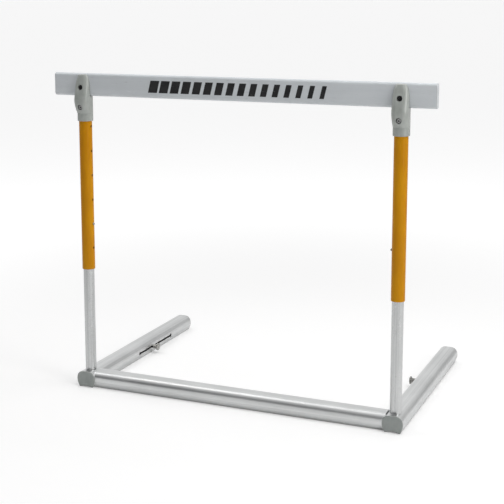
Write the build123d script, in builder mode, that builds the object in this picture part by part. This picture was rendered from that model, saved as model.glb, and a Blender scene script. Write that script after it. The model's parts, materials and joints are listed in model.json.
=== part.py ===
"""Competition hurdle: a weighted aluminium base, two telescopic uprights and a plastic bar board.

Millimetres. X runs along the bar, +Y to the back along the feet, +Z up. The origin is on the
ground, in the middle of the whole hurdle's box. The bar stands at its fifth height setting.
"""

import os
from math import cos, exp, log, radians, sin, tan

from build123d import *

# ---- Driving dimensions ----------------------------------------------------------------
BAR_LENGTH = 1200
BAR_HEIGHT = 70
BAR_DEPTH = 20
BAR_EDGE_RADIUS = 9
BAR_WALL = 2.5
BAR_TOP_Z = 991  # the 39 in setting

UPRIGHT_SPACING = 1000
FOOT_LENGTH = 700  # over both end caps
UPRIGHT_SETBACK = 35  # from the front of the feet to the uprights' axes

HOLE_COUNT = 6
HOLE_PITCH = 76.2  # 3 in between height settings
HOLE_RADIUS = 4.25
LOCK_Z = 522  # height of the snap buttons above the ground
HOLES_ABOVE_LOCK = 4

UPPER_TUBE_OD = 40
UPPER_TUBE_WALL = 2
UPPER_TUBE_BOTTOM_Z = 378
UPPER_TUBE_TOP_Z = 915
LOWER_TUBE_OD = 34
LOWER_TUBE_WALL = 2
LOWER_TUBE_TOP_Z = 560

PROFILE_WIDTH = 62
PROFILE_HEIGHT = 50
PROFILE_WALL = 3
PROFILE_WIDEST_Z = 21
PROFILE_LIP_HALF_WIDTH = 23.5
PROFILE_ARCH_RISE = 4

CAP_THICKNESS = 3
CAP_PLUG_DEPTH = 12

SLOT_Z = 22
SLOT_HEIGHT = 7
SLOT_FIRST_NOTCH = 305  # from the front of the foot to the first notch
NOTCH_PITCH = 46
NOTCH_WIDTH = 10.6
NOTCH_HEIGHTS = (13, 10.6, 10.6, 10.6, 10.6, 14)
REST_NOTCH = 2  # the notch that the counterweight is parked in, counted from 0

WEIGHT_LENGTH = 230
WEIGHT_WIDTH = 44
WEIGHT_HEIGHT = 32

KNOB_REACH = 23  # how far the pull knob stands out of the foot
KNOB_FLANGE_RADIUS = 12

BUTTON_RADIUS = 4
BUTTON_PROUD = 4.5

HEAD_RADIUS = 24
HEAD_BOTTOM_Z = 844
HEAD_TOP_Z = 987
TUBE_SCREW_Z = 887.5
BAR_SCREW_Z = 948

SLIDE_GAP = 0.1  # radial clearance of the telescopic tubes on their bushes
FIT_GAP = 0.05  # gap between pieces that are screwed or glued together
THREAD_GAP = 0.02  # radial gap of a thread in its hole, and of a glued bush
EDGE_BREAK = 0.8  # small chamfer on moulded and turned edges

# ---- Derived dimensions ----------------------------------------------------------------
FRONT_Y = -FOOT_LENGTH / 2
BACK_Y = FOOT_LENGTH / 2
UPRIGHT_Y = FRONT_Y + UPRIGHT_SETBACK
BAR_BOTTOM_Z = BAR_TOP_Z - BAR_HEIGHT
FOOT_FRONT_Y = FRONT_Y + CAP_THICKNESS
FOOT_BACK_Y = BACK_Y - CAP_THICKNESS
UPPER_TUBE_ID = UPPER_TUBE_OD - 2 * UPPER_TUBE_WALL
LOWER_TUBE_ID = LOWER_TUBE_OD - 2 * LOWER_TUBE_WALL
NOTCH_YS = [FRONT_Y + SLOT_FIRST_NOTCH + i * NOTCH_PITCH for i in range(HOLE_COUNT)]
PIN_Y = NOTCH_YS[REST_NOTCH]
SIDES = (("left", -1), ("right", 1))


def finish(piece, name):
    """Label a piece and write its STEP file."""
    piece.label = name
    export_step(piece, f"parts/{name}.step")


def upright_x(side):
    """X of an upright's axis, and of the foot under it."""
    return side * UPRIGHT_SPACING / 2


def inward(side, y=UPRIGHT_Y, z=0.0, distance=0.0):
    """Plane at a given distance inward from an upright's axis: normal inward, Y up."""
    x = upright_x(side) - side * distance
    return Plane(origin=(x, y, z), x_dir=(0, -side, 0), z_dir=(-side, 0, 0))


def backward(x, y, z=0.0):
    """Plane facing the front at depth y, with X to the right and Z up."""
    return Plane(origin=(x, y, z), x_dir=(1, 0, 0), z_dir=(0, -1, 0))


# ---- Base extrusion --------------------------------------------------------------------
SIDE_CORNER_RADIUS = 40
SHOULDER_RADIUS = 20
CROWN_RADIUS = 150
SIDE_CORNER_CUT = 1.25  # how far inside their corners the side and crown fillets pass
CROWN_CUT = 0.37
SHOULDER_DROP = 1.6
SHOULDER_INSET = 4.5
LIP_WIDTH = 4
CORNER_FINDER = 0.1  # half height of the band in which an outline's corner is looked for


def base_outline(inset=0.0):
    """D-shaped outline of the base extrusion, inset all round by a wall thickness."""
    half = PROFILE_WIDTH / 2 + SIDE_CORNER_CUT
    shoulder_y = PROFILE_HEIGHT - SHOULDER_DROP
    lip_in = PROFILE_LIP_HALF_WIDTH - LIP_WIDTH
    with BuildSketch() as outline:
        with BuildLine():
            ThreePointArc((-lip_in, 0), (0, PROFILE_ARCH_RISE), (lip_in, 0))
            right = Polyline(
                (lip_in, 0),
                (PROFILE_LIP_HALF_WIDTH, 0),
                (half, PROFILE_WIDEST_Z),
                (half - SHOULDER_INSET, shoulder_y),
                (0, PROFILE_HEIGHT + CROWN_CUT),
            )
            mirror(right, about=Plane.YZ)
        make_face()
        for y, radius in ((PROFILE_WIDEST_Z, SIDE_CORNER_RADIUS), (shoulder_y, SHOULDER_RADIUS)):
            band = (y - CORNER_FINDER, y + CORNER_FINDER)
            fillet(outline.vertices().filter_by_position(Axis.Y, *band), radius)
        fillet(outline.vertices().sort_by(Axis.Y)[-1], CROWN_RADIUS)
        if inset:
            offset(amount=-inset, kind=Kind.INTERSECTION)
    return outline.sketch


def foot_envelope(side):
    """Solid outer form of a foot, used to cope the pieces that meet it."""
    with BuildPart() as envelope:
        with BuildSketch(backward(upright_x(side), BACK_Y)):
            add(base_outline())
        extrude(amount=FOOT_LENGTH)
    return envelope.part


RAIL_SCREW_OFFSET = 12
RAIL_SCREW_RADIUS = 4
TUBE_BOLT_RADIUS = 5
SCREW_CLEARANCE = 0.5


def make_foot(side):
    """Foot extrusion with the comb slot on its inner side and the holes for its screws."""
    with BuildPart() as foot:
        with BuildSketch(backward(upright_x(side), FOOT_BACK_Y)):
            add(base_outline())
            add(base_outline(PROFILE_WALL), mode=Mode.SUBTRACT)
        extrude(amount=FOOT_BACK_Y - FOOT_FRONT_Y)
        # Comb slot: a long channel that joins six notches.
        slot_middle = (NOTCH_YS[0] + NOTCH_YS[-1]) / 2
        with BuildSketch(inward(side, slot_middle, SLOT_Z, PROFILE_WIDTH / 4)):
            Rectangle(NOTCH_YS[-1] - NOTCH_YS[0] + NOTCH_WIDTH, SLOT_HEIGHT)
            for i, height in enumerate(NOTCH_HEIGHTS):
                along = side * (slot_middle - NOTCH_YS[i])
                with Locations((along, 0)):
                    if height > NOTCH_WIDTH:
                        SlotOverall(height, NOTCH_WIDTH, rotation=90)
                    else:
                        Circle(NOTCH_WIDTH / 2)
        extrude(amount=PROFILE_WIDTH / 2, mode=Mode.SUBTRACT)
        # Holes for the rail's screws, through the inner wall.
        with BuildSketch(inward(side, UPRIGHT_Y, PROFILE_WIDEST_Z, PROFILE_WIDTH / 4)):
            with Locations((-RAIL_SCREW_OFFSET, 0), (RAIL_SCREW_OFFSET, 0)):
                Circle(RAIL_SCREW_RADIUS + SCREW_CLEARANCE)
        extrude(amount=PROFILE_WIDTH / 2, mode=Mode.SUBTRACT)
        # Hole for the upright's bolt, through the top wall.
        with BuildSketch(Plane.XY.offset(PROFILE_HEIGHT / 2)):
            with Locations((upright_x(side), UPRIGHT_Y)):
                Circle(TUBE_BOLT_RADIUS + SCREW_CLEARANCE)
        extrude(amount=PROFILE_HEIGHT, mode=Mode.SUBTRACT)
    return foot.part


CAP_CHAMFER = 1.2
CAP_PLUG_WALL = 2


def make_cap(side, at_front):
    """End cap: a flange with the foot's outline and a hollow plug that grips inside it."""
    flange_y = FOOT_FRONT_Y if at_front else BACK_Y
    with BuildPart() as cap:
        with BuildSketch(backward(upright_x(side), flange_y)):
            add(base_outline())
        extrude(amount=CAP_THICKNESS)
        rim = cap.faces().sort_by(Axis.Y)[0 if at_front else -1].edges()
        chamfer(rim, CAP_CHAMFER)
        plug_end = FOOT_FRONT_Y + CAP_PLUG_DEPTH if at_front else FOOT_BACK_Y
        with BuildSketch(backward(upright_x(side), plug_end)):
            add(base_outline(PROFILE_WALL + FIT_GAP))
            add(base_outline(PROFILE_WALL + CAP_PLUG_WALL), mode=Mode.SUBTRACT)
        extrude(amount=CAP_PLUG_DEPTH)
    return cap.part


RAIL_LIP_GAP = 0.5  # from the foot's lips to the blank that the rail is coped from


def make_rail():
    """Front rail between the feet, its ends coped to the feet's sides."""
    start = -UPRIGHT_SPACING / 2 + PROFILE_LIP_HALF_WIDTH + RAIL_LIP_GAP
    with BuildPart() as rail:
        with BuildSketch(Plane(origin=(start, UPRIGHT_Y, 0), x_dir=(0, 1, 0), z_dir=(1, 0, 0))):
            add(base_outline())
            add(base_outline(PROFILE_WALL), mode=Mode.SUBTRACT)
        extrude(amount=-2 * start)
        for _, side in SIDES:
            add(foot_envelope(side), mode=Mode.SUBTRACT)
    return rail.part


CONNECTOR_LENGTH = 50
CONNECTOR_WIDTH = 40
CONNECTOR_HEIGHT = 28
CONNECTOR_CORNER = 5
CONNECTOR_RAISE = 4  # of the block's middle above its screws
CONNECTOR_THREAD_DEPTH = 40
FOOT_INNER_X = PROFILE_WIDTH / 2 - PROFILE_WALL  # inner face of the foot's side wall


def make_rail_connector(side):
    """Block inside the rail's end, threaded for the two screws that come through the foot."""
    with BuildPart() as connector:
        middle_z = PROFILE_WIDEST_Z + CONNECTOR_RAISE
        with BuildSketch(inward(side, UPRIGHT_Y, middle_z, PROFILE_WIDTH / 2 + FIT_GAP)):
            RectangleRounded(CONNECTOR_WIDTH, CONNECTOR_HEIGHT, CONNECTOR_CORNER)
        extrude(amount=CONNECTOR_LENGTH)
        with BuildSketch(inward(side, UPRIGHT_Y, PROFILE_WIDEST_Z, PROFILE_WIDTH / 2)):
            with Locations((-RAIL_SCREW_OFFSET, 0), (RAIL_SCREW_OFFSET, 0)):
                Circle(RAIL_SCREW_RADIUS)
        extrude(amount=CONNECTOR_THREAD_DEPTH, mode=Mode.SUBTRACT)
    return connector.part


def make_rail_screws(side):
    """Two socket screws from inside the foot into the rail connector."""
    head_height, head_radius, shank = 5, 6.5, 38
    socket_af, socket_depth = 5, 3
    wall_curve = 1.9  # the wall curves towards the edges of the flat heads
    with BuildPart() as screws:
        heads = [(-RAIL_SCREW_OFFSET, 0), (RAIL_SCREW_OFFSET, 0)]
        seat = FOOT_INNER_X - wall_curve - head_height
        with BuildSketch(inward(side, UPRIGHT_Y, PROFILE_WIDEST_Z, seat)):
            with Locations(*heads):
                Circle(head_radius)
        extrude(amount=head_height)
        with BuildSketch(inward(side, UPRIGHT_Y, PROFILE_WIDEST_Z, seat)):
            with Locations(*heads):
                Circle(RAIL_SCREW_RADIUS - FIT_GAP)
        extrude(amount=head_height + shank)
        with BuildSketch(inward(side, UPRIGHT_Y, PROFILE_WIDEST_Z, seat)):
            with Locations(*heads):
                RegularPolygon(socket_af / 2, 6, major_radius=False)
        extrude(amount=socket_depth, mode=Mode.SUBTRACT)
    return screws.part


# ---- Uprights --------------------------------------------------------------------------
ANCHOR_TOP_Z = 92


def make_lower_tube(side):
    """Bare lower tube: coped to the foot, with the hole that the snap button comes out of."""
    with BuildPart() as tube:
        with BuildSketch(Plane.XY.offset(PROFILE_HEIGHT / 2)):
            with Locations((upright_x(side), UPRIGHT_Y)):
                Circle(LOWER_TUBE_OD / 2)
                Circle(LOWER_TUBE_ID / 2, mode=Mode.SUBTRACT)
        extrude(amount=LOWER_TUBE_TOP_Z - PROFILE_HEIGHT / 2)
        add(foot_envelope(side), mode=Mode.SUBTRACT)
        with BuildSketch(inward(side, UPRIGHT_Y, LOCK_Z)):
            Circle(HOLE_RADIUS)
        extrude(amount=LOWER_TUBE_OD, mode=Mode.SUBTRACT)
    return tube.part


def make_tube_anchor(side):
    """Threaded plug pressed into the foot of the lower tube."""
    with BuildPart() as anchor:
        with BuildSketch(Plane.XY.offset(PROFILE_HEIGHT / 2)):
            with Locations((upright_x(side), UPRIGHT_Y)):
                Circle(LOWER_TUBE_ID / 2 - FIT_GAP)
                Circle(TUBE_BOLT_RADIUS, mode=Mode.SUBTRACT)
        extrude(amount=ANCHOR_TOP_Z - PROFILE_HEIGHT / 2)
        add(foot_envelope(side), mode=Mode.SUBTRACT)
        chamfer(anchor.faces().sort_by(Axis.Z)[-1].edges(), EDGE_BREAK)
    return anchor.part


def make_tube_bolt(side):
    """Hexagon bolt and washer that hold the upright down, from inside the foot."""
    head_height, head_af, washer_radius, washer_height = 6.4, 17, 10, 2
    wall_curve, end_gap = 0.4, 4
    washer_top = PROFILE_HEIGHT - PROFILE_WALL - wall_curve
    head_bottom = washer_top - washer_height - head_height
    with BuildPart() as bolt:
        with BuildSketch(Plane.XY.offset(head_bottom)):
            with Locations((upright_x(side), UPRIGHT_Y)):
                RegularPolygon(head_af / 2, 6, major_radius=False)
        extrude(amount=head_height)
        with BuildSketch(Plane.XY.offset(head_bottom + head_height)):
            with Locations((upright_x(side), UPRIGHT_Y)):
                Circle(washer_radius)
        extrude(amount=washer_height)
        with BuildSketch(Plane.XY.offset(head_bottom + head_height)):
            with Locations((upright_x(side), UPRIGHT_Y)):
                Circle(TUBE_BOLT_RADIUS - FIT_GAP)
        extrude(amount=ANCHOR_TOP_Z - head_bottom - head_height - end_gap)
    return bolt.part


GLIDE_COLLAR = 10
GLIDE_SPIGOT = 22
GLIDE_WALL = 4  # of the spigot, and of the crown above its hollow
GLIDE_LEAD = 2  # chamfer that leads the plug into the upper tube


def make_glide_plug(side):
    """Nylon plug on top of the lower tube, which steadies it inside the upper tube."""
    with BuildPart() as plug:
        with BuildSketch(Plane.XY.offset(LOWER_TUBE_TOP_Z)):
            with Locations((upright_x(side), UPRIGHT_Y)):
                Circle(UPPER_TUBE_ID / 2 - SLIDE_GAP)
        extrude(amount=GLIDE_COLLAR)
        chamfer(plug.faces().sort_by(Axis.Z)[-1].edges(), GLIDE_LEAD)
        with BuildSketch(Plane.XY.offset(LOWER_TUBE_TOP_Z - GLIDE_SPIGOT)):
            with Locations((upright_x(side), UPRIGHT_Y)):
                Circle(LOWER_TUBE_ID / 2 - FIT_GAP)
        extrude(amount=GLIDE_SPIGOT)
        with BuildSketch(Plane.XY.offset(LOWER_TUBE_TOP_Z - GLIDE_SPIGOT)):
            with Locations((upright_x(side), UPRIGHT_Y)):
                Circle(LOWER_TUBE_ID / 2 - GLIDE_WALL)
        extrude(amount=GLIDE_SPIGOT + GLIDE_WALL, mode=Mode.SUBTRACT)
    return plug.part


BUTTON_FLANGE_RADIUS = 5.5
BUTTON_FLANGE_THICKNESS = 1.5
BUTTON_FLANGE_FACE = LOWER_TUBE_ID / 2 - 2.5  # from the tube's axis; clears its curved wall
BUTTON_DOME = 3  # height of the rounded tip


def make_lock_button(side):
    """Domed snap button that stands out through both tubes."""
    tip = UPPER_TUBE_OD / 2 + BUTTON_PROUD
    dome_start = tip - BUTTON_DOME
    dome_middle = dome_start + BUTTON_DOME * sin(radians(45))
    flange_back = BUTTON_FLANGE_FACE - BUTTON_FLANGE_THICKNESS
    plane = Plane(origin=(upright_x(side), UPRIGHT_Y, LOCK_Z), x_dir=(-side, 0, 0), z_dir=(0, 1, 0))
    with BuildPart() as button:
        with BuildSketch(plane):
            with BuildLine():
                Polyline(
                    (dome_start, BUTTON_RADIUS),
                    (BUTTON_FLANGE_FACE, BUTTON_RADIUS),
                    (BUTTON_FLANGE_FACE, BUTTON_FLANGE_RADIUS),
                    (flange_back, BUTTON_FLANGE_RADIUS),
                    (flange_back, 0),
                    (tip, 0),
                )
                ThreePointArc(
                    (tip, 0),
                    (dome_middle, BUTTON_RADIUS * cos(radians(45))),
                    (dome_start, BUTTON_RADIUS),
                )
            make_face()
        revolve(axis=Axis((upright_x(side), UPRIGHT_Y, LOCK_Z), (1, 0, 0)))
    return button.part


SPRING_THICKNESS = 0.8
SPRING_STRIP_WIDTH = 8
SPRING_BEND_Z = 452
SPRING_BEND_RADIUS = 6
SPRING_WALL_GAP = 2  # from the leg to the tube's wall, which curves towards the leg's edges
SPRING_WALL_LEG_TOP = 8  # above the button's axis
SPRING_PAD_HALF = 7  # half height of the straight pad behind the button


def make_lock_spring(side):
    """V-shaped leaf spring: one leg on the tube's far wall, one behind the button."""
    wall_leg = SPRING_WALL_GAP - LOWER_TUBE_ID / 2
    bend_end = wall_leg + 2 * SPRING_BEND_RADIUS
    bend_top = SPRING_BEND_Z + SPRING_BEND_RADIUS
    button_leg = BUTTON_FLANGE_FACE - BUTTON_FLANGE_THICKNESS - SPRING_THICKNESS - FIT_GAP
    plane = Plane(origin=(upright_x(side), UPRIGHT_Y, 0), x_dir=(-side, 0, 0), z_dir=(0, side, 0))
    with BuildPart() as spring:
        with BuildSketch(plane):
            with BuildLine():
                Line((wall_leg, LOCK_Z + SPRING_WALL_LEG_TOP), (wall_leg, bend_top))
                ThreePointArc(
                    (wall_leg, bend_top),
                    (wall_leg + SPRING_BEND_RADIUS, SPRING_BEND_Z),
                    (bend_end, bend_top),
                )
                Polyline(
                    (bend_end, bend_top),
                    (button_leg, LOCK_Z - SPRING_PAD_HALF),
                    (button_leg, LOCK_Z + SPRING_PAD_HALF),
                )
                offset(amount=SPRING_THICKNESS, side=Side.RIGHT)
            make_face()
        extrude(amount=SPRING_STRIP_WIDTH / 2, both=True)
    return spring.part


def make_upper_tube(side):
    """Painted upper tube with its row of height holes and the hole for its head's screw."""
    with BuildPart() as tube:
        with BuildSketch(Plane.XY.offset(UPPER_TUBE_BOTTOM_Z)):
            with Locations((upright_x(side), UPRIGHT_Y)):
                Circle(UPPER_TUBE_OD / 2)
                Circle(UPPER_TUBE_ID / 2, mode=Mode.SUBTRACT)
        extrude(amount=UPPER_TUBE_TOP_Z - UPPER_TUBE_BOTTOM_Z)
        with BuildSketch(inward(side, UPRIGHT_Y, LOCK_Z)):
            for i in range(HOLE_COUNT):
                with Locations((0, (HOLES_ABOVE_LOCK - i) * HOLE_PITCH)):
                    Circle(HOLE_RADIUS)
        extrude(amount=UPPER_TUBE_OD, mode=Mode.SUBTRACT)
        with BuildSketch(backward(upright_x(side), UPRIGHT_Y + UPPER_TUBE_OD, TUBE_SCREW_Z)):
            Circle(HEAD_SCREW_RADIUS + SCREW_CLEARANCE)
        extrude(amount=2 * UPPER_TUBE_OD, mode=Mode.SUBTRACT)
    return tube.part


BUSH_HEIGHT = 30


def make_guide_bush(side):
    """Nylon bush glued in the mouth of the upper tube, which runs on the lower tube."""
    with BuildPart() as bush:
        with BuildSketch(Plane.XY.offset(UPPER_TUBE_BOTTOM_Z)):
            with Locations((upright_x(side), UPRIGHT_Y)):
                Circle(UPPER_TUBE_ID / 2 - THREAD_GAP)
                Circle(LOWER_TUBE_OD / 2 + SLIDE_GAP, mode=Mode.SUBTRACT)
        extrude(amount=BUSH_HEIGHT)
    return bush.part


# ---- Heads -----------------------------------------------------------------------------
HEAD_SCREW_RADIUS = 4
SCREW_HEAD_RADIUS = 6.5
SCREW_HEAD_HEIGHT = 6
SOCKET_AF = 6
SOCKET_DEPTH = 4
COUNTERBORE_RADIUS = 8
NUT_AF = 13
NUT_HEIGHT = 6.5
NUT_POCKET_GAP = 0.2
SHANK_SHORTFALL = 0.5  # how far a screw ends inside its nut
TUBE_SCREW_SEAT = -22.5  # depth of the lower screw's seat, from the upright's axis
BAR_SCREW_SEAT = -18.5
NUT_SEAT_TUBE = 21.4
NUT_SEAT_BAR = 15
BAR_GAP = 0.15  # between the bar and the head's slot

HEAD_FRONT = 35.7  # reach of the belly in front of the upright's axis, before it rounds over
HEAD_BELLY_Z = 914  # height at which the belly turns into the slope
HEAD_BELLY_START_Z = 868
HEAD_BELLY_CURVE = 184
HEAD_SLOPE = 0.25
HEAD_ROUNDING = 6
HEAD_EDGE_RADIUS = 16
HEAD_COLLAR_CORNER = 23  # almost round
HEAD_CORNER_FADE = 1.5  # how fast the corners tighten above the collar
HEAD_ARCH_Z = 935  # height above which the head narrows to its top
HEAD_ARCH_RISE = 58
HEAD_ARCH_POWER = 3
HEAD_LEAST_FLAT = 1  # least half width of the flat front
HEAD_TOP_RADIUS = 4
HEAD_SECTIONS = 12


def head_front(z):
    """Depth of the head's front face: a belly that swells out and then slopes back."""
    over = z - HEAD_BELLY_Z
    slope = HEAD_SLOPE * HEAD_ROUNDING * log(1 + exp(over / HEAD_ROUNDING))
    return HEAD_FRONT - slope - min(over, 0) ** 2 / HEAD_BELLY_CURVE


def head_half_width(z):
    """Half width of a head: that of the collar, then narrowing like an arch to the top."""
    rise = max(z - HEAD_ARCH_Z, 0) / HEAD_ARCH_RISE
    return HEAD_RADIUS * (1 - rise**HEAD_ARCH_POWER) ** (1 / HEAD_ARCH_POWER)


def head_corner(z):
    """Corner radius of a head section: almost round at the collar, then tightening."""
    belly_height = HEAD_BELLY_Z - HEAD_ROUNDING - HEAD_BELLY_START_Z
    left = 1 - min((z - HEAD_BELLY_START_Z) / belly_height, 1)
    corner = HEAD_EDGE_RADIUS + (HEAD_COLLAR_CORNER - HEAD_EDGE_RADIUS) * left**HEAD_CORNER_FADE
    return min(corner, head_half_width(z) - HEAD_LEAST_FLAT)


def head_section(z):
    """D-shaped plan section: a half-round back and a flat front with rounded corners."""
    half, front, corner = head_half_width(z), head_front(z), head_corner(z)
    with BuildSketch() as section:
        with BuildLine():
            ThreePointArc((half, 0), (0, half), (-half, 0))
            Line((-half, 0), (-half, corner - front))
            RadiusArc((-half, corner - front), (corner - half, -front), -corner)
            Line((corner - half, -front), (half - corner, -front))
            RadiusArc((half - corner, -front), (half, corner - front), -corner)
            Line((half, corner - front), (half, 0))
        make_face()
    return section.sketch


def make_head(side):
    """Moulded head: a collar on the upper tube and an open-topped slot for the bar."""
    x = upright_x(side)
    with BuildPart() as head:
        with BuildSketch(Plane.XY.offset(HEAD_BOTTOM_Z)):
            with Locations((x, UPRIGHT_Y)):
                Circle(HEAD_RADIUS)
        extrude(amount=HEAD_BELLY_START_Z - HEAD_BOTTOM_Z)
        chamfer(head.faces().sort_by(Axis.Z)[0].edges(), EDGE_BREAK)
        step = (HEAD_TOP_Z - HEAD_BELLY_START_Z) / HEAD_SECTIONS
        for i in range(HEAD_SECTIONS + 1):
            z = HEAD_BELLY_START_Z + i * step
            with BuildSketch(Plane(origin=(x, UPRIGHT_Y, z))):
                add(head_section(z))
        loft()
        fillet(head.faces().sort_by(Axis.Z)[-1].edges(), HEAD_TOP_RADIUS)
        # Blind bore for the tube.
        with BuildSketch(Plane.XY.offset(HEAD_BOTTOM_Z)):
            with Locations((x, UPRIGHT_Y)):
                Circle(UPPER_TUBE_OD / 2 + FIT_GAP)
        extrude(amount=UPPER_TUBE_TOP_Z - HEAD_BOTTOM_Z + FIT_GAP, mode=Mode.SUBTRACT)
        # Open-topped slot for the bar.
        with BuildSketch(Plane(origin=(x, UPRIGHT_Y, BAR_BOTTOM_Z - BAR_GAP))):
            Rectangle(4 * HEAD_RADIUS, BAR_DEPTH + 2 * BAR_GAP)
        extrude(amount=BAR_HEIGHT, mode=Mode.SUBTRACT)
        # Screw holes, the counterbores in front and the nut pockets at the back.
        for z, seat, nut_seat in (
            (TUBE_SCREW_Z, TUBE_SCREW_SEAT, NUT_SEAT_TUBE),
            (BAR_SCREW_Z, BAR_SCREW_SEAT, NUT_SEAT_BAR),
        ):
            with BuildSketch(backward(x, UPRIGHT_Y + 2 * HEAD_RADIUS, z)):
                Circle(HEAD_SCREW_RADIUS + SCREW_CLEARANCE)
            extrude(amount=4 * HEAD_RADIUS, mode=Mode.SUBTRACT)
            with BuildSketch(backward(x, UPRIGHT_Y + seat, z)):
                Circle(COUNTERBORE_RADIUS)
            extrude(amount=2 * HEAD_RADIUS, mode=Mode.SUBTRACT)
            with BuildSketch(backward(x, UPRIGHT_Y + 2 * HEAD_RADIUS, z)):
                RegularPolygon(NUT_AF / 2 + NUT_POCKET_GAP, 6, major_radius=False)
            extrude(amount=2 * HEAD_RADIUS - nut_seat, mode=Mode.SUBTRACT)
    return head.part


def make_head_screw(side, z, seat, nut_seat):
    """Socket screw through a head, from its counterbore to its nut."""
    x = upright_x(side)
    head_back = UPRIGHT_Y + seat - FIT_GAP
    shank = nut_seat + NUT_HEIGHT - SHANK_SHORTFALL - seat
    with BuildPart() as screw:
        with BuildSketch(backward(x, head_back, z)):
            Circle(SCREW_HEAD_RADIUS)
        extrude(amount=SCREW_HEAD_HEIGHT)
        chamfer(screw.faces().sort_by(Axis.Y)[0].edges(), EDGE_BREAK)
        with BuildSketch(backward(x, head_back + shank, z)):
            Circle(HEAD_SCREW_RADIUS)
        extrude(amount=shank)
        with BuildSketch(backward(x, head_back - SCREW_HEAD_HEIGHT + SOCKET_DEPTH, z)):
            RegularPolygon(SOCKET_AF / 2, 6, major_radius=False)
        extrude(amount=SOCKET_DEPTH, mode=Mode.SUBTRACT)
    return screw.part


def make_head_nut(side, z, nut_seat):
    """Hexagon nut in the pocket at the back of a head."""
    x = upright_x(side)
    with BuildPart() as nut:
        with BuildSketch(backward(x, UPRIGHT_Y + nut_seat + FIT_GAP + NUT_HEIGHT, z)):
            RegularPolygon(NUT_AF / 2, 6, major_radius=False)
            Circle(HEAD_SCREW_RADIUS + THREAD_GAP, mode=Mode.SUBTRACT)
        extrude(amount=NUT_HEIGHT)
    return nut.part


# ---- Crossbar --------------------------------------------------------------------------
END_PLUG_FLANGE = 3
END_PLUG_DEPTH = 20
BAR_WEBS = 2
BAR_WEB_THICKNESS = 2
WEB_SLOT_GAP = 0.4  # how much wider the plug's slots are than the webs


def bar_outline(inset=0.0):
    """Rounded section of the bar board."""
    with BuildSketch() as outline:
        RectangleRounded(
            BAR_DEPTH - 2 * inset, BAR_HEIGHT - 2 * inset, BAR_EDGE_RADIUS - inset
        )
    return outline.sketch


def bar_plane(x):
    """Plane across the bar at a given X, with its normal along +X."""
    middle_z = (BAR_TOP_Z + BAR_BOTTOM_Z) / 2
    return Plane(origin=(x, UPRIGHT_Y, middle_z), x_dir=(0, 1, 0), z_dir=(1, 0, 0))


def make_crossbar():
    """Hollow plastic board with two inner webs and the holes for its two screws."""
    length = BAR_LENGTH - 2 * END_PLUG_FLANGE
    with BuildPart() as bar:
        with BuildSketch(bar_plane(-length / 2)):
            add(bar_outline())
            add(bar_outline(BAR_WALL), mode=Mode.SUBTRACT)
            with GridLocations(0, BAR_HEIGHT / (BAR_WEBS + 1), 1, BAR_WEBS):
                Rectangle(BAR_DEPTH - BAR_WALL, BAR_WEB_THICKNESS)
        extrude(amount=length)
        for _, side in SIDES:
            with BuildSketch(backward(upright_x(side), UPRIGHT_Y + BAR_DEPTH, BAR_SCREW_Z)):
                Circle(HEAD_SCREW_RADIUS + SCREW_CLEARANCE)
            extrude(amount=2 * BAR_DEPTH, mode=Mode.SUBTRACT)
    return bar.part


def make_bar_plug(side):
    """End plug of the bar: a flat flange and three stubs that grip between the webs."""
    outer = side * (BAR_LENGTH / 2 - END_PLUG_FLANGE)
    with BuildPart() as plug:
        with BuildSketch(bar_plane(outer)):
            add(bar_outline())
        extrude(amount=side * END_PLUG_FLANGE)
        end = plug.faces().sort_by(Axis.X)[-1 if side > 0 else 0]
        chamfer(end.edges(), EDGE_BREAK)
        with BuildSketch(bar_plane(outer)):
            add(bar_outline(BAR_WALL + FIT_GAP))
            with GridLocations(0, BAR_HEIGHT / (BAR_WEBS + 1), 1, BAR_WEBS):
                Rectangle(BAR_DEPTH, BAR_WEB_THICKNESS + WEB_SLOT_GAP, mode=Mode.SUBTRACT)
        extrude(amount=-side * END_PLUG_DEPTH)
    return plug.part


GRAPHIC_START_X = -272
GRAPHIC_END_X = 305
GRAPHIC_HEIGHT = 36
GRAPHIC_THICKNESS = 0.25
GRAPHIC_SLANT = 14  # degrees from the vertical
GRAPHIC_STROKES = 16
FIRST_STROKE = 0.82  # width of the first stroke, as a share of the pitch
STROKE_LOSS = 0.03  # how much of the pitch each further stroke loses


def make_bar_graphic():
    """Printed film on the bar's front: slanted strokes that thin out to one side."""
    lean = GRAPHIC_HEIGHT * tan(radians(GRAPHIC_SLANT)) / 2
    pitch = (GRAPHIC_END_X - GRAPHIC_START_X) / GRAPHIC_STROKES
    half = GRAPHIC_HEIGHT / 2
    middle_z = (BAR_TOP_Z + BAR_BOTTOM_Z) / 2
    with BuildPart() as graphic:
        with BuildSketch(backward(0, UPRIGHT_Y - BAR_DEPTH / 2, middle_z)):
            for i in range(GRAPHIC_STROKES):
                start = GRAPHIC_START_X + i * pitch
                width = pitch * (FIRST_STROKE - STROKE_LOSS * i)
                with BuildLine():
                    Polyline(
                        (start - lean, -half),
                        (start - lean + width, -half),
                        (start + lean + width, half),
                        (start + lean, half),
                        close=True,
                    )
                make_face()
        extrude(amount=GRAPHIC_THICKNESS)
    return graphic.part


# ---- Sliding counterweights ------------------------------------------------------------
PIN_RADIUS = 3
PIN_COLLAR_RADIUS = 5
PIN_FLANGE_RADIUS = 6
PIN_FLANGE_THICKNESS = 3
BORE_RADIUS = 6.5
BORE_DEPTH = 32  # of the pin's bore into the weight, from its inner side
RETAINER_LENGTH = 8
RETAINER_GAP = 0.08  # radial clearance of the pin in its retainer
WEIGHT_CHAMFER = 2.5
WEIGHT_FLOOR_Z = PROFILE_ARCH_RISE + PROFILE_WALL + 0.3  # just clear of the foot's arch
WEIGHT_SIDE = WEIGHT_WIDTH / 2  # from the foot's middle to the weight's inner side
FOOT_FACE = PROFILE_WIDTH / 2  # from the foot's middle to its side face


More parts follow.
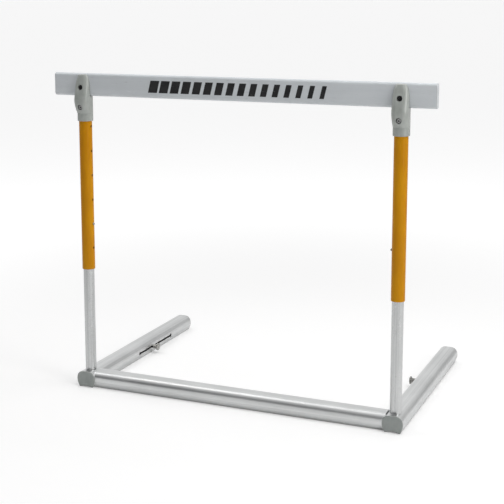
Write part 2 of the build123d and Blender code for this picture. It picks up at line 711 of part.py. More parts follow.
def make_weight(side):
    """Steel bar inside the foot, bored for the pin and threaded for its retainer."""
    with BuildPart() as weight:
        with BuildSketch(backward(upright_x(side), PIN_Y + WEIGHT_LENGTH / 2, WEIGHT_FLOOR_Z)):
            with Locations((0, WEIGHT_HEIGHT / 2)):
                Rectangle(WEIGHT_WIDTH, WEIGHT_HEIGHT)
        extrude(amount=WEIGHT_LENGTH)
        chamfer(weight.edges().filter_by(Axis.Y), WEIGHT_CHAMFER)
        with BuildSketch(inward(side, PIN_Y, SLOT_Z, WEIGHT_SIDE - BORE_DEPTH)):
            Circle(BORE_RADIUS)
        extrude(amount=BORE_DEPTH, mode=Mode.SUBTRACT)
    return weight.part


def make_pin_retainer(side):
    """Threaded ring in the mouth of the weight's bore, which the pin slides through."""
    with BuildPart() as retainer:
        with BuildSketch(inward(side, PIN_Y, SLOT_Z, WEIGHT_SIDE - RETAINER_LENGTH)):
            Circle(BORE_RADIUS - THREAD_GAP)
            Circle(PIN_RADIUS + RETAINER_GAP, mode=Mode.SUBTRACT)
        extrude(amount=RETAINER_LENGTH)
    return retainer.part


PIN_START = WEIGHT_SIDE - BORE_DEPTH + 2  # inner end of the pin at rest
SPRING_WIRE = 0.45
SPRING_COIL_RADIUS = 4.3
SPRING_TURNS = 7
COLLAR_REACH_IN = 3  # how far the collar stands inside the foot's wall
COLLAR_REACH_OUT = 1  # and outside it
PIN_END = FOOT_FACE + KNOB_REACH - 8  # outer end of the pin, inside its knob


def make_lock_pin(side):
    """Locking pin: a rod with a flange for its spring and a collar that fills a notch."""
    collar_start = FOOT_FACE - PROFILE_WALL - COLLAR_REACH_IN
    with BuildPart() as pin:
        with BuildSketch(inward(side, PIN_Y, SLOT_Z, PIN_START)):
            Circle(PIN_FLANGE_RADIUS)
        extrude(amount=PIN_FLANGE_THICKNESS)
        with BuildSketch(inward(side, PIN_Y, SLOT_Z, PIN_START)):
            Circle(PIN_RADIUS)
        extrude(amount=PIN_END - PIN_START)
        with BuildSketch(inward(side, PIN_Y, SLOT_Z, collar_start)):
            Circle(PIN_COLLAR_RADIUS)
        extrude(amount=FOOT_FACE + COLLAR_REACH_OUT - collar_start)
    return pin.part


def make_pin_spring(side):
    """Coil spring between the pin's flange and the retainer."""
    start = PIN_START + PIN_FLANGE_THICKNESS + SPRING_WIRE + FIT_GAP
    end = WEIGHT_SIDE - RETAINER_LENGTH - SPRING_WIRE - FIT_GAP
    plane = inward(side, PIN_Y, SLOT_Z, start)
    with BuildPart() as spring:
        with BuildLine():
            coil = Helix(
                pitch=(end - start) / SPRING_TURNS,
                height=end - start,
                radius=SPRING_COIL_RADIUS,
                center=plane.origin,
                direction=plane.z_dir,
            )
        with BuildSketch(Plane(origin=coil @ 0, z_dir=coil % 0)):
            Circle(SPRING_WIRE)
        sweep(path=coil)
    return spring.part


KNOB_RIBS = 16
KNOB_BODY_RADIUS = 7.5
KNOB_BASE_RADIUS = 5.5
KNOB_BASE_TAPER = 4  # length over which the base widens to the waist
KNOB_FLANGE_THICKNESS = 5.5
KNOB_CROWN = 1.8  # how far the rounded face rises from the flange's rim
KNOB_CROWN_SHOULDER = (0.5, 2.4)  # a point on the crown, below its top and inside its rim
KNOB_GROOVE_RADIUS = 0.8
KNOB_GROOVE_OFFSET = 0.3  # of the grooves' centres outside the ribbed surface


def make_pull_knob(side):
    """Pull knob: a ribbed waist on the pin's collar and a broad flange to grip behind."""
    base = FOOT_FACE + COLLAR_REACH_OUT + FIT_GAP
    tip = FOOT_FACE + KNOB_REACH
    flange_back = tip - KNOB_FLANGE_THICKNESS
    rim = tip - KNOB_CROWN
    shoulder_drop, shoulder_inset = KNOB_CROWN_SHOULDER
    plane = Plane(origin=(upright_x(side), PIN_Y, SLOT_Z), x_dir=(-side, 0, 0), z_dir=(0, 1, 0))
    with BuildPart() as knob:
        with BuildSketch(plane):
            with BuildLine():
                Polyline(
                    (base, 0),
                    (base, KNOB_BASE_RADIUS),
                    (base + KNOB_BASE_TAPER, KNOB_BODY_RADIUS),
                    (flange_back - EDGE_BREAK, KNOB_BODY_RADIUS),
                    (flange_back, KNOB_FLANGE_RADIUS - EDGE_BREAK),
                    (flange_back + EDGE_BREAK, KNOB_FLANGE_RADIUS),
                    (rim, KNOB_FLANGE_RADIUS),
                )
                Spline(
                    (rim, KNOB_FLANGE_RADIUS),
                    (tip - shoulder_drop, KNOB_FLANGE_RADIUS - shoulder_inset),
                    (tip, 0),
                    tangents=[(1, 0), (0, -1)],
                )
                Line((tip, 0), (base, 0))
            make_face()
        revolve(axis=Axis((upright_x(side), PIN_Y, SLOT_Z), (1, 0, 0)))
        # Grooves round the waist and round the flange's rim.
        groove_start = base + KNOB_BASE_TAPER - EDGE_BREAK
        with BuildSketch(inward(side, PIN_Y, SLOT_Z, groove_start)):
            with PolarLocations(KNOB_BODY_RADIUS + KNOB_GROOVE_OFFSET, KNOB_RIBS):
                Circle(KNOB_GROOVE_RADIUS)
        extrude(amount=flange_back - EDGE_BREAK - groove_start, mode=Mode.SUBTRACT)
        with BuildSketch(inward(side, PIN_Y, SLOT_Z, flange_back)):
            with PolarLocations(KNOB_FLANGE_RADIUS + KNOB_GROOVE_OFFSET, 2 * KNOB_RIBS):
                Circle(KNOB_GROOVE_RADIUS)
        extrude(amount=KNOB_FLANGE_THICKNESS, mode=Mode.SUBTRACT)
        # Blind hole for the pin.
        with BuildSketch(inward(side, PIN_Y, SLOT_Z, base)):
            Circle(PIN_RADIUS + THREAD_GAP)
        extrude(amount=PIN_END + FIT_GAP - base, mode=Mode.SUBTRACT)
    return knob.part


# ---- Build every piece -----------------------------------------------------------------
os.makedirs("parts", exist_ok=True)

finish(make_rail(), "base_rail")
finish(make_crossbar(), "crossbar")
finish(make_bar_graphic(), "bar_graphic")

for name, side in SIDES:
    finish(make_foot(side), f"{name}_foot")
    finish(make_cap(side, at_front=True), f"{name}_front_cap")
    finish(make_cap(side, at_front=False), f"{name}_rear_cap")
    finish(make_rail_connector(side), f"{name}_rail_connector")
    finish(make_rail_screws(side), f"{name}_rail_screws")
    finish(make_lower_tube(side), f"{name}_lower_tube")
    finish(make_tube_anchor(side), f"{name}_tube_anchor")
    finish(make_tube_bolt(side), f"{name}_tube_bolt")
    finish(make_glide_plug(side), f"{name}_glide_plug")
    finish(make_lock_button(side), f"{name}_lock_button")
    finish(make_lock_spring(side), f"{name}_lock_spring")
    finish(make_upper_tube(side), f"{name}_upper_tube")
    finish(make_guide_bush(side), f"{name}_guide_bush")
    finish(make_head(side), f"{name}_head")
    finish(make_head_screw(side, TUBE_SCREW_Z, TUBE_SCREW_SEAT, NUT_SEAT_TUBE), f"{name}_tube_screw")
    finish(make_head_nut(side, TUBE_SCREW_Z, NUT_SEAT_TUBE), f"{name}_tube_nut")
    finish(make_head_screw(side, BAR_SCREW_Z, BAR_SCREW_SEAT, NUT_SEAT_BAR), f"{name}_bar_screw")
    finish(make_head_nut(side, BAR_SCREW_Z, NUT_SEAT_BAR), f"{name}_bar_nut")
    finish(make_bar_plug(side), f"{name}_bar_plug")
    finish(make_weight(side), f"{name}_weight")
    finish(make_pin_retainer(side), f"{name}_pin_retainer")
    finish(make_lock_pin(side), f"{name}_lock_pin")
    finish(make_pin_spring(side), f"{name}_pin_spring")
    finish(make_pull_knob(side), f"{name}_pull_knob")
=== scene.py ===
"""Look of the competition hurdle: the finish of every piece, the floor, the light and the camera.

Everything is in metres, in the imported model's own frame: X along the bar, Y to the back, Z up.
"""

import json
import math

import bpy
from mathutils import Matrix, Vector


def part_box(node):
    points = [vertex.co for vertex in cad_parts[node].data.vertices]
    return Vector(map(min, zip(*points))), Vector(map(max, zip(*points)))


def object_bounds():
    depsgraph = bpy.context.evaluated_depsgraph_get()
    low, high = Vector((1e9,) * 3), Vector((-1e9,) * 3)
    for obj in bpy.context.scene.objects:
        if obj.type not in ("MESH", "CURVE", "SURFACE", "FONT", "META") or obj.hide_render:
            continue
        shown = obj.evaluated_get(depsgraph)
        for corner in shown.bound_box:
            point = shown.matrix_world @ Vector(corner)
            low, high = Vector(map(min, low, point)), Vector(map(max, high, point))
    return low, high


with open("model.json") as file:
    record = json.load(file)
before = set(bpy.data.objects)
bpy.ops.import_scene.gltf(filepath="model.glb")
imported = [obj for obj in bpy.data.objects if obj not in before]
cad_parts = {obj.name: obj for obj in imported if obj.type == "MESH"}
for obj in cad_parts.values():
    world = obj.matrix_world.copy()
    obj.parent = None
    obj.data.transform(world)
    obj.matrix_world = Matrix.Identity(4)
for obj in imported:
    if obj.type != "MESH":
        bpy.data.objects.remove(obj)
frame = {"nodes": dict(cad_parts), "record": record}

MM = 0.001
cad_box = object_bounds()


# ---- Node materials ----------------------------------------------------------------------
class Finish:
    """A node material: one Principled shader, and short calls that add what feeds it."""

    def __init__(self, name, metallic=0.0, coat=0.0, specular=0.5):
        self.material = bpy.data.materials.new(name)
        self.material.use_nodes = True
        self.tree = self.material.node_tree
        self.shader = self.tree.nodes["Principled BSDF"]
        self.put("Metallic", metallic)
        self.put("Coat Weight", coat)
        self.put("Specular IOR Level", specular)
        self.place = self.tree.nodes.new("ShaderNodeTexCoord").outputs["Object"]

    def feed(self, socket, value):
        """Link a socket, or set a plain number, vector or colour."""
        if isinstance(value, bpy.types.NodeSocket):
            self.tree.links.new(value, socket)
        elif isinstance(value, tuple) and len(socket.default_value) > len(value):
            socket.default_value = (*value, 1.0)
        else:
            socket.default_value = value

    def put(self, name, value):
        """Feed one of the shader's inputs."""
        self.feed(self.shader.inputs[name], value)

    def node(self, kind, settings=(), **inputs):
        """Add a node with its settings and its inputs, named with underscores for spaces."""
        made = self.tree.nodes.new(f"ShaderNode{kind}")
        for name, value in dict(settings).items():
            setattr(made, name, value)
        for name, value in inputs.items():
            self.feed(made.inputs[name.replace("_", " ")], value)
        return made

    def math(self, operation, a, b=0.0, c=0.0):
        """Math on one, two or three values."""
        made = self.node("Math", {"operation": operation, "use_clamp": False})
        for socket, value in zip(made.inputs, (a, b, c)):
            self.feed(socket, value)
        return made.outputs[0]

    def axis(self, letter):
        """One coordinate of the point, in metres."""
        return self.node("SeparateXYZ", Vector=self.place).outputs[letter]

    def noise(self, size, detail=3.0, stretch=(1, 1, 1), shift=0.0, roughness=0.55):
        """Noise from 0 to 1 whose features are about size across; stretch lengthens them."""
        scale = tuple(1 / (size * s) for s in stretch)
        mapped = self.node(
            "Mapping", {"vector_type": "POINT"}, Vector=self.place, Location=(shift,) * 3, Scale=scale
        )
        made = self.node(
            "TexNoise", Vector=mapped.outputs[0], Scale=1.0, Detail=detail, Roughness=roughness
        )
        return made.outputs["Fac"]

    def cells(self, size, shift=0.0):
        """Distance to the nearest of scattered points, in units of size."""
        mapped = self.node(
            "Mapping", {"vector_type": "POINT"}, Vector=self.place,
            Location=(shift,) * 3, Scale=(1 / size,) * 3,
        )
        return self.node("TexVoronoi", Vector=mapped.outputs[0], Scale=1.0).outputs["Distance"]

    def between(self, value, low, high, to_low=0.0, to_high=1.0):
        """Map low..high smoothly onto to_low..to_high, clamped."""
        made = self.node(
            "MapRange", {"interpolation_type": "SMOOTHSTEP"}, Value=value,
            From_Min=low, From_Max=high, To_Min=to_low, To_Max=to_high,
        )
        return made.outputs[0]

    def mix(self, factor, first, second):
        """Mix two colours."""
        made = self.node("Mix", {"data_type": "RGBA"})
        self.feed(made.inputs["Factor"], factor)
        self.feed(made.inputs[6], first)
        self.feed(made.inputs[7], second)
        return made.outputs[2]

    def edges(self, radius):
        """1 along convex and concave edges, within about radius of them, and 0 on open faces."""
        rounded = self.node("Bevel", {"samples": 4}, Radius=radius).outputs[0]
        true = self.node("NewGeometry").outputs["Normal"]
        dot = self.node("VectorMath", {"operation": "DOT_PRODUCT"})
        self.feed(dot.inputs[0], rounded)
        self.feed(dot.inputs[1], true)
        return self.between(dot.outputs["Value"], 0.995, 0.90)

    def painted_recess_shade(self, reach):
        """Ambient-occlusion mask for painted shade: 1 deep in corners and recesses, and 0 on open faces."""
        made = self.node("AmbientOcclusion", {"samples": 6, "only_local": False}, Distance=reach)
        return self.between(made.outputs["AO"], 0.85, 0.25)

    def relief(self, layers, edge_radius=0.0):
        """Stack (height, depth) layers of bump on an edge-rounded normal."""
        normal = self.node("Bevel", {"samples": 4}, Radius=edge_radius).outputs[0] if edge_radius else None
        for height, depth in layers:
            made = self.node("Bump", Strength=1.0, Distance=depth, Height=height)
            if normal is not None:
                self.feed(made.inputs["Normal"], normal)
            normal = made.outputs[0]
        self.put("Normal", normal)


def along(letter, length):
    """Stretch along one axis, for marks that run that way."""
    return tuple(length if letter == each else 1 for each in "XYZ")


GRIME_HEIGHT = 6 * MM  # above the ground, where dirt collects


def drawn_aluminium(name, run, clean, worn, roughness=0.3, floor_grime=0.0):
    """Mill-finish extrusion: die lines along its run, oxide clouds, handling scratches."""
    f = Finish(name, metallic=1.0)
    lines = f.noise(0.5 * MM, 2, along(run, 900), shift=3)
    bands = f.noise(5 * MM, 3, along(run, 160), shift=11)
    clouds = f.noise(55 * MM, 5, along(run, 2.5), shift=23)
    scratch = f.between(f.noise(0.7 * MM, 1, (26, 14, 9), shift=31), 0.70, 0.78)
    rub = f.between(f.noise(9 * MM, 4, along(run, 4), shift=41), 0.60, 0.74)
    edge = f.edges(1.2 * MM)
    tone = f.between(f.math("MULTIPLY_ADD", bands, 0.6, f.math("MULTIPLY", clouds, 0.4)), 0.33, 0.66)
    color = f.mix(tone, worn, clean)
    color = f.mix(f.math("MULTIPLY", scratch, 0.35), color, (0.93, 0.93, 0.93))
    color = f.mix(f.math("MULTIPLY", edge, 0.5), color, (0.90, 0.90, 0.89))
    if floor_grime:
        low = f.between(f.axis("Z"), GRIME_HEIGHT, 0.0)
        grime = f.math("MULTIPLY", low, f.between(clouds, 0.35, 0.65, 0.1, floor_grime))
        color = f.mix(grime, color, (0.30, 0.29, 0.27))
    f.put("Base Color", color)
    rough = f.math("MULTIPLY_ADD", lines, 0.14, roughness - 0.07)
    rough = f.math("MULTIPLY_ADD", clouds, 0.16, f.math("SUBTRACT", rough, 0.08))
    rough = f.math("MULTIPLY_ADD", rub, 0.10, rough)
    f.put("Roughness", rough)
    f.relief([(lines, 0.010 * MM), (bands, 0.03 * MM), (scratch, 0.015 * MM)], 0.6 * MM)
    return f.material


def machined_aluminium(name):
    """Sawn and turned blocks inside the tubes and the rail."""
    f = Finish(name, metallic=1.0)
    saw = f.noise(0.6 * MM, 2, (1, 30, 1), shift=5)
    clouds = f.noise(12 * MM, 4, shift=9)
    f.put("Base Color", f.mix(f.between(clouds, 0.3, 0.7), (0.60, 0.61, 0.62), (0.74, 0.75, 0.76)))
    f.put("Roughness", f.between(saw, 0.2, 0.8, 0.30, 0.52))
    f.relief([(saw, 0.03 * MM)], 0.4 * MM)
    return f.material


def powder_coat(name, color, deep, primer):
    """Glossy powder coat: orange peel, faint sag streaks, chips on edges, sliding scuffs."""
    f = Finish(name, specular=0.15)
    peel = f.noise(2.4 * MM, 2, shift=2)
    fine = f.noise(0.8 * MM, 2, shift=7)
    clouds = f.noise(45 * MM, 4, (1, 1, 3), shift=13)
    scuff = f.between(f.noise(1.1 * MM, 2, (1, 1, 40), shift=19), 0.66, 0.74)
    chips = f.between(f.noise(1.8 * MM, 4, shift=29), 0.50, 0.58)
    chipped = f.math("MULTIPLY", f.edges(0.9 * MM), chips)
    base = f.mix(f.between(clouds, 0.3, 0.7), deep, color)
    base = f.mix(f.math("MULTIPLY", scuff, 0.30), base, tuple(min(1, c * 1.25 + 0.03) for c in color))
    # Painted shade: corners and recesses are darkened by the ambient-occlusion mask.
    base = f.mix(f.math("MULTIPLY", f.painted_recess_shade(6 * MM), 0.55), base, tuple(c * 0.35 for c in deep))
    f.put("Base Color", f.mix(chipped, base, primer))
    rough = f.math("MULTIPLY_ADD", fine, 0.10, 0.24)
    rough = f.math("MULTIPLY_ADD", scuff, 0.18, rough)
    f.put("Roughness", f.math("MULTIPLY_ADD", chipped, 0.25, rough))
    f.relief([(peel, 0.10 * MM), (fine, 0.02 * MM), (chipped, -0.08 * MM)], 0.4 * MM)
    return f.material


def moulded(name, color, shade, roughness, grain=0.7, painted_edge_highlight=0.25, recess_shade_color=(0.10, 0.10, 0.09), coat=0.0):
    """Moulded plastic: spark-eroded grain, flow clouds, paler edges as a painted highlight, painted shade in
    recesses.
    """
    f = Finish(name, specular=0.5, coat=coat)
    f.put("Coat Roughness", 0.14)
    grit = f.noise(grain * MM, 2, shift=4)
    clouds = f.noise(26 * MM, 4, shift=15)
    flow = f.noise(7 * MM, 2, (1, 1, 5), shift=21)
    nick = f.between(f.noise(1.0 * MM, 2, (12, 5, 3), shift=33), 0.68, 0.76)
    edge = f.edges(1.0 * MM)
    blend = f.math("MULTIPLY_ADD", clouds, 0.65, f.math("MULTIPLY", flow, 0.35))
    base = f.mix(f.between(blend, 0.34, 0.66), shade, color)
    # Painted highlight: edges are mixed towards a paler colour.
    base = f.mix(f.math("MULTIPLY", edge, painted_edge_highlight), base, tuple(min(1, c * 1.35 + 0.04) for c in color))
    base = f.mix(f.math("MULTIPLY", nick, 0.25), base, tuple(min(1, c * 1.3 + 0.05) for c in color))
    # Painted shade: the ambient-occlusion mask darkens corners and recesses towards a dark colour.
    f.put("Base Color", f.mix(f.math("MULTIPLY", f.painted_recess_shade(9 * MM), 0.6), base, recess_shade_color))
    rough = f.math("MULTIPLY_ADD", grit, 0.12, roughness - 0.06)
    f.put("Roughness", f.math("MULTIPLY_ADD", clouds, 0.10, f.math("SUBTRACT", rough, 0.05)))
    f.relief([(grit, 0.035 * MM), (flow, 0.05 * MM), (nick, -0.03 * MM)], 0.6 * MM)
    return f.material


def extruded_board(name, color, shade):
    """The bar's satin plastic: faint lines along it, knocks near its lower edge, painted shade in recesses.
    """
    f = Finish(name, specular=0.5, coat=0.1)
    lines = f.noise(1.2 * MM, 2, along("X", 500), shift=6)
    waves = f.noise(16 * MM, 3, along("X", 14), shift=12)
    clouds = f.noise(90 * MM, 4, shift=18)
    knock = f.between(f.noise(4 * MM, 3, (7, 1, 1), shift=27), 0.67, 0.74)
    scratch = f.between(f.noise(0.8 * MM, 1, (34, 6, 4), shift=37), 0.71, 0.78)
    blend = f.math("MULTIPLY_ADD", clouds, 0.6, f.math("MULTIPLY", waves, 0.4))
    base = f.mix(f.between(blend, 0.34, 0.66), shade, color)
    base = f.mix(f.math("MULTIPLY", knock, 0.22), base, (0.24, 0.25, 0.26))
    base = f.mix(f.math("MULTIPLY", scratch, 0.25), base, tuple(min(1, c * 1.2) for c in color))
    # Painted shade: corners and recesses are darkened by the ambient-occlusion mask.
    f.put("Base Color", f.mix(f.math("MULTIPLY", f.painted_recess_shade(7 * MM), 0.45), base, (0.16, 0.16, 0.16)))
    rough = f.math("MULTIPLY_ADD", lines, 0.10, 0.30)
    rough = f.math("MULTIPLY_ADD", knock, 0.15, rough)
    f.put("Roughness", f.math("MULTIPLY_ADD", clouds, 0.08, rough))
    f.put("Coat Roughness", 0.3)
    f.relief([(lines, 0.012 * MM), (waves, 0.10 * MM), (scratch, -0.02 * MM)])
    return f.material


def printed_film(name):
    """Black print with pinholes and a slightly uneven sheen."""
    f = Finish(name, specular=0.4)
    pores = f.between(f.cells(2.6 * MM, shift=3), 0.10, 0.04)
    rub = f.between(f.noise(3 * MM, 3, (5, 1, 1), shift=8), 0.66, 0.75)
    clouds = f.noise(30 * MM, 3, shift=17)
    base = f.mix(f.between(clouds, 0.3, 0.7), (0.008, 0.008, 0.009), (0.020, 0.020, 0.021))
    base = f.mix(f.math("MULTIPLY", f.math("MAXIMUM", pores, rub), 0.30), base, (0.30, 0.31, 0.32))
    f.put("Base Color", base)
    f.put("Roughness", f.between(clouds, 0.3, 0.7, 0.34, 0.48))
    f.relief([(pores, -0.02 * MM), (f.noise(1.2 * MM, 2, shift=25), 0.01 * MM)])
    return f.material


def plated_steel(name, color, tint, roughness, lines_along=None, edge_color=(0.85, 0.85, 0.84)):
    """Plated or turned steel: tool lines, handling smears and bright worn edges."""
    f = Finish(name, metallic=1.0)
    stretch = along(lines_along, 60) if lines_along else (1, 1, 1)
    lines = f.noise(0.35 * MM, 2, stretch, shift=2)
    smear = f.noise(5 * MM, 4, shift=10)
    pits = f.between(f.cells(1.5 * MM, shift=5), 0.13, 0.05)
    base = f.mix(f.between(smear, 0.3, 0.7), tint, color)
    base = f.mix(f.math("MULTIPLY", f.edges(0.5 * MM), 0.6), base, edge_color)
    # Painted shade: corners and recesses are darkened by the ambient-occlusion mask.
    base = f.mix(f.math("MULTIPLY", f.painted_recess_shade(4 * MM), 0.6), base, (0.05, 0.045, 0.04))
    f.put("Base Color", f.mix(f.math("MULTIPLY", pits, 0.35), base, (0.16, 0.12, 0.09)))
    rough = f.math("MULTIPLY_ADD", lines, 0.12, roughness - 0.06)
    f.put("Roughness", f.math("MULTIPLY_ADD", smear, 0.16, f.math("SUBTRACT", rough, 0.08)))
    f.relief([(lines, 0.012 * MM), (pits, -0.02 * MM)], 0.3 * MM)
    return f.material


TURNING_PITCH = 0.45 * MM  # between the rings that the tool leaves


def turned_knob(name, axis_y, axis_z):
    """Nickel-plated pull knob: rings of turning marks about its own axis."""
    f = Finish(name, metallic=1.0)
    offset_y = f.math("SUBTRACT", f.axis("Y"), axis_y)
    offset_z = f.math("SUBTRACT", f.axis("Z"), axis_z)
    radius = f.math("SQRT", f.math("ADD", f.math("POWER", offset_y, 2.0), f.math("POWER", offset_z, 2.0)))
    wobble = f.noise(2 * MM, 2, shift=3)
    phase = f.math("MULTIPLY_ADD", radius, 2 * math.pi / TURNING_PITCH, f.math("MULTIPLY", wobble, 1.5))
    rings = f.between(f.math("SINE", phase), -1.0, 1.0)
    smear = f.noise(4 * MM, 4, shift=12)
    base = f.mix(f.between(smear, 0.3, 0.7), (0.28, 0.27, 0.25), (0.52, 0.52, 0.50))
    base = f.mix(f.math("MULTIPLY", f.edges(0.5 * MM), 0.5), base, (0.88, 0.88, 0.86))
    # Painted shade: corners and recesses are darkened by the ambient-occlusion mask.
    f.put("Base Color", f.mix(f.math("MULTIPLY", f.painted_recess_shade(3 * MM), 0.75), base, (0.04, 0.035, 0.03)))
    f.put("Roughness", f.math("MULTIPLY_ADD", rings, 0.08, f.between(smear, 0.3, 0.7, 0.16, 0.30)))
    f.relief([(rings, 0.02 * MM), (wobble, 0.01 * MM)], 0.3 * MM)
    return f.material


def mill_scale(name):
    """Hot-rolled weight: blue-black scale with rust where it has rubbed through."""
    f = Finish(name, metallic=0.55)
    flakes = f.noise(9 * MM, 5, (1, 2, 1), shift=4)
    rust = f.between(f.noise(14 * MM, 6, shift=16), 0.52, 0.66)
    grit = f.noise(0.9 * MM, 3, shift=22)
    edge = f.edges(1.5 * MM)
    base = f.mix(f.between(flakes, 0.35, 0.65), (0.045, 0.048, 0.055), (0.13, 0.13, 0.135))
    base = f.mix(f.math("MULTIPLY", rust, 0.8), base, (0.24, 0.10, 0.045))
    f.put("Base Color", f.mix(f.math("MULTIPLY", edge, 0.5), base, (0.36, 0.35, 0.34)))
    f.put("Roughness", f.math("MULTIPLY_ADD", rust, 0.3, f.between(grit, 0.2, 0.8, 0.45, 0.65)))
    f.relief([(flakes, 0.12 * MM), (grit, 0.06 * MM), (rust, 0.05 * MM)], 0.8 * MM)
    return f.material


# ---- Which finish each piece has ------------------------------------------------------------
CLEAN_ALUMINIUM = (0.80, 0.81, 0.81)
WORN_ALUMINIUM = (0.65, 0.66, 0.66)
CLEAN_TUBE = (0.68, 0.69, 0.69)
WORN_TUBE = (0.55, 0.56, 0.56)
knob_low, knob_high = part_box("left_pull_knob")
knob_axis = (knob_low + knob_high) / 2

finishes = {
    "tube_aluminium": drawn_aluminium("TubeAluminium", "Z", CLEAN_TUBE, WORN_TUBE, 0.26),
    "connector_aluminium": machined_aluminium("ConnectorAluminium"),
    "yellow_paint": powder_coat("YellowPaint", (0.66, 0.29, 0.001), (0.58, 0.235, 0.001), (0.33, 0.31, 0.28)),
    "head_grey": moulded("HeadGrey", (0.43, 0.455, 0.43), (0.37, 0.395, 0.37), 0.30, coat=0.7),
    "bar_board": extruded_board("BarBoard", (0.70, 0.735, 0.76), (0.64, 0.675, 0.70)),
    "bar_end": moulded("BarEnd", (0.68, 0.71, 0.73), (0.61, 0.64, 0.66), 0.38, grain=0.9),
    "print_black": printed_film("PrintBlack"),
    "cap_grey": moulded("CapGrey", (0.37, 0.395, 0.38), (0.31, 0.335, 0.325), 0.45, grain=1.1),
    "zinc_steel": plated_steel("ZincSteel", (0.66, 0.67, 0.70), (0.52, 0.52, 0.50), 0.32),
    "screw_steel": plated_steel("ScrewSteel", (0.60, 0.60, 0.60), (0.42, 0.42, 0.41), 0.25),
    "screw_black": plated_steel("ScrewBlack", (0.05, 0.05, 0.055), (0.025, 0.025, 0.028), 0.3,
                                edge_color=(0.38, 0.37, 0.36)),
    "button_steel": plated_steel("ButtonSteel", (0.50, 0.48, 0.44), (0.34, 0.32, 0.29), 0.28, "X"),
    "spring_steel": plated_steel("SpringSteel", (0.42, 0.42, 0.45), (0.30, 0.28, 0.26), 0.25),
    "nylon": moulded("Nylon", (0.045, 0.045, 0.047), (0.03, 0.03, 0.032), 0.42, grain=0.5, painted_edge_highlight=0.1,
                     recess_shade_color=(0.02, 0.02, 0.02)),
    "weight_steel": mill_scale("WeightSteel"),
    "pin_steel": plated_steel("PinSteel", (0.46, 0.46, 0.47), (0.33, 0.33, 0.33), 0.22),
    "knob_steel": turned_knob("KnobSteel", knob_axis.y, knob_axis.z),
}
RUNS = {"base_rail": "X", "left_foot": "Y", "right_foot": "Y"}
base_finishes = {
    run: drawn_aluminium(f"Base{run}Aluminium", run, CLEAN_ALUMINIUM, WORN_ALUMINIUM, 0.38, 0.35)
    for run in "XY"
}


def dress(name, material):
    """Give a CAD piece its finish."""
    piece = frame["nodes"][name]
    if not piece.material_slots:
        piece.data.materials.append(material)
    for slot in piece.material_slots:
        slot.material = material


for subpart in frame["record"]["subparts"]:
    node = subpart["node"]
    if node in RUNS:
        dress(node, base_finishes[RUNS[node]])
    else:
        dress(node, finishes[subpart["material_slot"]])


# ---- Floor, light and camera -----------------------------------------------------------------
box_low, box_high = cad_box
centre = (box_low + box_high) / 2
FLOOR_HALF = 400.0
FLOOR_COLOR = (0.86, 0.86, 0.86)
GLOW_NEAR, GLOW_FAR = 0.18, 0.48  # of the floor under the hurdle, and out where the lamps don't reach
GLOW_REACH = (0.9, 3.4)  # distances from the middle between which the glow grows
BACKGROUND = (0.90, 0.90, 0.90)


def make_floor():
    """Plain pale floor; the glow evens it out to the eye alone, so it doesn't light the hurdle."""
    mesh = bpy.data.meshes.new("Floor")
    corners = [(x * FLOOR_HALF, y * FLOOR_HALF, box_low.z) for x, y in ((-1, -1), (1, -1), (1, 1), (-1, 1))]
    mesh.from_pydata(corners, [], [(0, 1, 2, 3)])
    floor = bpy.data.objects.new("Floor", mesh)
    bpy.context.scene.collection.objects.link(floor)
    f = Finish("FloorPaper", specular=0.1)
    f.put("Base Color", FLOOR_COLOR)
    f.put("Roughness", 0.9)
    f.put("Emission Color", (1.0, 1.0, 1.0))
    distance = f.node("VectorMath", {"operation": "LENGTH"})
    f.feed(distance.inputs[0], f.place)
    glow = f.between(distance.outputs["Value"], *GLOW_REACH, GLOW_NEAR, GLOW_FAR)
    f.put("Emission Strength", f.math("MULTIPLY", f.node("LightPath").outputs["Is Camera Ray"], glow))
    mesh.materials.append(f.material)


def soft_box(name, place, aim, width, height, radiance, color=(1.0, 1.0, 1.0)):
    """Rectangular lamp at place that faces aim; its power follows from its radiance."""
    data = bpy.data.lights.new(name, "AREA")
    data.shape = "RECTANGLE"
    data.size, data.size_y = width, height
    data.energy = radiance * math.pi * width * height
    data.color = color
    lamp = bpy.data.objects.new(name, data)
    lamp.location = place
    lamp.rotation_euler = (Vector(aim) - Vector(place)).to_track_quat("-Z", "Y").to_euler()
    bpy.context.scene.collection.objects.link(lamp)


ROOM_FRONT = (0.16, 0.16, 0.165)  # behind the camera, where the room is dark
ROOM_BACK_LEFT = (0.80, 0.80, 0.80)  # the lit backdrop
ROOM_BACK_RIGHT = (0.46, 0.46, 0.46)
ROOM_ABOVE = (0.62, 0.62, 0.62)


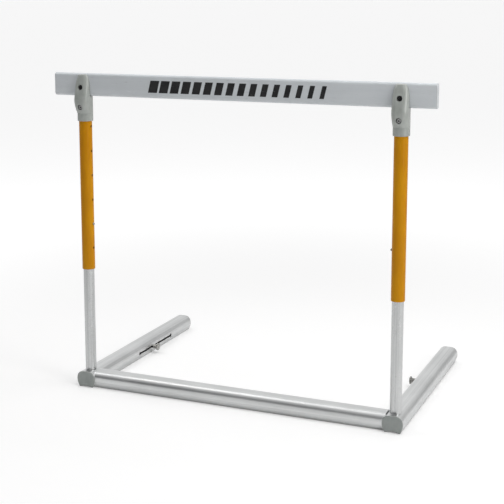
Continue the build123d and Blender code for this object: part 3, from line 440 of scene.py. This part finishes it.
def make_room():
    """Studio surroundings: dark in front, a lit backdrop behind, pale to the eye all round."""
    world = bpy.data.worlds.new("Studio")
    bpy.context.scene.world = world
    world.use_nodes = True
    nodes, links = world.node_tree.nodes, world.node_tree.links
    direction = nodes.new("ShaderNodeSeparateXYZ")
    links.new(nodes.new("ShaderNodeTexCoord").outputs["Generated"], direction.inputs[0])

    def blended(letter, low_edge, high_edge, first, second):
        """Smooth change from one colour to another as one component of the direction grows."""
        ramp = nodes.new("ShaderNodeMapRange")
        ramp.interpolation_type = "SMOOTHSTEP"
        ramp.inputs["From Min"].default_value = low_edge
        ramp.inputs["From Max"].default_value = high_edge
        links.new(direction.outputs[letter], ramp.inputs["Value"])
        return mixed(ramp.outputs[0], first, second)

    def mixed(factor, first, second):
        """Mix two colours, each a tuple or a socket."""
        mix = nodes.new("ShaderNodeMix")
        mix.data_type = "RGBA"
        links.new(factor, mix.inputs["Factor"])
        for socket, value in ((mix.inputs[6], first), (mix.inputs[7], second)):
            if isinstance(value, tuple):
                socket.default_value = (*value, 1)
            else:
                links.new(value, socket)
        return mix.outputs[2]

    back = blended("X", -0.2, 0.6, ROOM_BACK_LEFT, ROOM_BACK_RIGHT)
    around = blended("Y", -0.3, 0.6, ROOM_FRONT, back)
    lit = blended("Z", 0.45, 0.9, around, ROOM_ABOVE)
    seen = mixed(nodes.new("ShaderNodeLightPath").outputs["Is Camera Ray"], lit, BACKGROUND)
    links.new(seen, nodes["Background"].inputs["Color"])


VIEW_AZIMUTH = math.radians(22.7)
VIEW_ELEVATION = math.radians(9.0)
VIEW_DISTANCE = 3.64
VIEW_OFFSET = (-0.070, 0.157)  # of the optical axis from the hurdle's middle, to the right and up
LENS = 80.9
SHIFT_Y = -0.15


def make_camera():
    """Camera at the front right, a little above the bar's height, looking slightly down."""
    back = Vector((
        math.sin(VIEW_AZIMUTH) * math.cos(VIEW_ELEVATION),
        -math.cos(VIEW_AZIMUTH) * math.cos(VIEW_ELEVATION),
        math.sin(VIEW_ELEVATION),
    ))
    right = Vector((math.cos(VIEW_AZIMUTH), math.sin(VIEW_AZIMUTH), 0))
    above = back.cross(right)
    data = bpy.data.cameras.new("Camera")
    data.lens = LENS
    data.shift_y = SHIFT_Y
    data.clip_end = 1000
    camera = bpy.data.objects.new("Camera", data)
    camera.location = centre + right * VIEW_OFFSET[0] + above * VIEW_OFFSET[1] + back * VIEW_DISTANCE
    camera.rotation_euler = (-back).to_track_quat("-Z", "Y").to_euler()
    bpy.context.scene.collection.objects.link(camera)
    bpy.context.scene.camera = camera


make_floor()
make_room()
soft_box("Overhead", (1.1, -0.1, 3.1), (0.0, 0.0, 0.3), 2.0, 2.4, 2.5)
soft_box("Strip", (-2.1, -0.2, 3.0), (0.0, -0.2, 0.0), 1.1, 2.2, 2.6)
soft_box("Key", (3.6, -1.7, 1.7), (0.0, 0.0, 0.45), 1.6, 2.4, 3.2, (1.0, 0.99, 0.97))
make_camera()
bpy.context.scene.view_settings.view_transform = "Standard"
